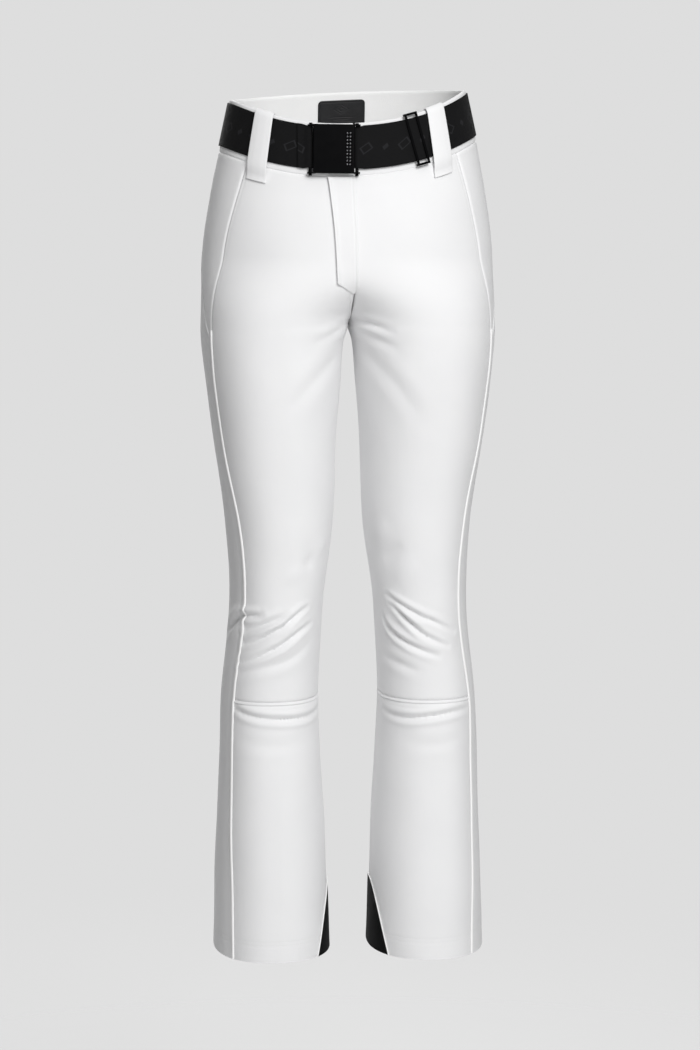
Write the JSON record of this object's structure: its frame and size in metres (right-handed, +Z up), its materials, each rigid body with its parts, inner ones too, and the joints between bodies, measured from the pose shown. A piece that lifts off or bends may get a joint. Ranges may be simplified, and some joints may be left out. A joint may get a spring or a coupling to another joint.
{
  "type": "ski pants",
  "caption": "Slim bootcut softshell ski pants with a wide webbing belt, plate buckle, fly, hip panels, knee seams, piped outseams and scuff guards at the hems.",
  "frame": {"origin": "centre of the waist opening, level with its side edges", "axes": "+Z up along the body, -Y towards the front, +X towards the wearer's left"},
  "size_m": [0.352, 0.2318, 1.0351],
  "materials": {
    "white_softshell": "smooth matt stretch softshell with a fine knit face",
    "white_lining": "brushed white lining",
    "white_piping": "smooth piping with a slight sheen",
    "black_elastic_webbing": "ribbed elastic webbing with a woven pattern",
    "black_gloss_metal": "black gloss enamel on metal",
    "bright_studs": "bright domed studs",
    "black_leather": "embossed black leather",
    "black_scuff_cloth": "dense abrasion resistant cloth",
    "white_elastic": "ribbed elastic",
    "gaiter_cloth": "light coated gaiter cloth",
    "zip_tape_white": "woven zip tape with a nylon coil",
    "zip_metal": "satin coated zip metal",
    "hook_steel": "plated steel"
  },
  "bodies": {
    "root": {"front_thigh_L": "white_softshell", "front_lower_leg_L": "white_softshell", "back_leg_L": "white_softshell", "hip_side_L": "white_softshell", "outseam_piping_L": "white_piping", "pocket_bag_L": "white_lining", "gaiter_L": "gaiter_cloth", "gaiter_elastic_L": "white_elastic", "scuff_guard_L": "black_scuff_cloth", "front_thigh_R": "white_softshell", "front_lower_leg_R": "white_softshell", "back_leg_R": "white_softshell", "hip_side_R": "white_softshell", "outseam_piping_R": "white_piping", "pocket_bag_R": "white_lining", "gaiter_R": "gaiter_cloth", "gaiter_elastic_R": "white_elastic", "scuff_guard_R": "black_scuff_cloth", "waistband_front_L": "white_softshell", "waistband_front_R": "white_softshell", "waistband_back": "white_softshell", "waistband_facing": "white_lining", "fly_placket": "white_softshell", "fly_underlap": "white_lining", "belt_loop_front_L": "white_softshell", "belt_loop_back_L": "white_softshell", "belt_loop_front_R": "white_softshell", "belt_loop_back_R": "white_softshell", "belt_loop_centre_back": "white_softshell", "label_patch": "black_leather", "belt_strap": "black_elastic_webbing", "belt_strap_return": "black_elastic_webbing", "belt_strap_fold": "black_elastic_webbing", "buckle_hinge_bar": "black_gloss_metal", "buckle_catch_bar": "black_gloss_metal", "fly_zip_chain": "zip_tape_white", "pocket_zip_L_chain": "zip_tape_white", "leg_zip_L_chain": "zip_tape_white", "pocket_zip_R_chain": "zip_tape_white", "leg_zip_R_chain": "zip_tape_white", "waist_hook": "hook_steel", "waist_hook_bar": "hook_steel"},
    "buckle_plate": {"buckle_plate": "black_gloss_metal", "buckle_studs": "bright_studs"},
    "belt_adjuster": {"belt_adjuster": "black_gloss_metal"},
    "fly_zip_slider": {"fly_zip_slider": "zip_metal"},
    "fly_zip_pull": {"fly_zip_pull": "zip_metal"},
    "pocket_zip_L_slider": {"pocket_zip_L_slider": "zip_metal"},
    "pocket_zip_L_pull": {"pocket_zip_L_pull": "zip_metal"},
    "leg_zip_L_slider": {"leg_zip_L_slider": "zip_metal"},
    "leg_zip_L_pull": {"leg_zip_L_pull": "zip_metal"},
    "pocket_zip_R_slider": {"pocket_zip_R_slider": "zip_metal"},
    "pocket_zip_R_pull": {"pocket_zip_R_pull": "zip_metal"},
    "leg_zip_R_slider": {"leg_zip_R_slider": "zip_metal"},
    "leg_zip_R_pull": {"leg_zip_R_pull": "zip_metal"}
  },
  "joints": [
    {"name": "buckle_hinge", "type": "hinge", "parent": "root", "child": "buckle_plate", "pos_m": [-0.05113, -0.09384, -0.06333], "axis": [-0.0217, -0.116, -0.993], "range_deg": [0, 80]},
    {"name": "adjuster_slide_along_belt", "type": "hinge", "parent": "root", "child": "belt_adjuster", "pos_m": [0.00841, 0.05463, 0.03431], "axis": [0.0552, 0.545, -0.8366], "range_deg": [0, 7.84]},
    {"name": "fly_zip_travel", "type": "slide", "parent": "root", "child": "fly_zip_slider", "axis": [0.0278, -0.0622, -0.9977], "range_m": [0, 0.0752]},
    {"name": "fly_zip_pull_swing", "type": "hinge", "parent": "fly_zip_slider", "child": "fly_zip_pull", "pos_m": [0.0003, -0.09028, -0.11727], "axis": [-0.9996, -0.0018, -0.0277], "range_deg": [0, 12]},
    {"name": "pocket_zip_L_travel", "type": "slide", "parent": "root", "child": "pocket_zip_L_slider", "axis": [0.2018, 0.0048, -0.9794], "range_m": [0, 0.1109]},
    {"name": "pocket_zip_L_pull_swing", "type": "hinge", "parent": "pocket_zip_L_slider", "child": "pocket_zip_L_pull", "pos_m": [0.12562, -0.05535, -0.09556], "axis": [-0.6734, -0.7254, -0.1423], "range_deg": [0, 12]},
    {"name": "pocket_zip_R_travel", "type": "slide", "parent": "root", "child": "pocket_zip_R_slider", "axis": [-0.218, 0.0058, -0.9759], "range_m": [0, 0.1007]},
    {"name": "pocket_zip_R_pull_swing", "type": "hinge", "parent": "pocket_zip_R_slider", "child": "pocket_zip_R_pull", "pos_m": [-0.12568, -0.05542, -0.10597], "axis": [-0.669, 0.7272, 0.1537], "range_deg": [0, 12]},
    {"name": "leg_zip_L_travel", "type": "slide", "parent": "root", "child": "leg_zip_L_slider", "axis": [0.0108, -0.0706, -0.9974], "range_m": [0, 0.2346]},
    {"name": "leg_zip_L_pull_swing", "type": "hinge", "parent": "leg_zip_L_slider", "child": "leg_zip_L_pull", "pos_m": [0.13495, -0.05041, -0.75349], "axis": [-0.5254, -0.8491, 0.0544], "range_deg": [0, 12]},
    {"name": "leg_zip_R_travel", "type": "slide", "parent": "root", "child": "leg_zip_R_slider", "axis": [-0.0108, -0.0706, -0.9974], "range_m": [0, 0.2346]},
    {"name": "leg_zip_R_pull_swing", "type": "hinge", "parent": "leg_zip_R_slider", "child": "leg_zip_R_pull", "pos_m": [-0.13495, -0.05041, -0.75349], "axis": [-0.5254, 0.8491, -0.0544], "range_deg": [0, 12]}
  ]
}
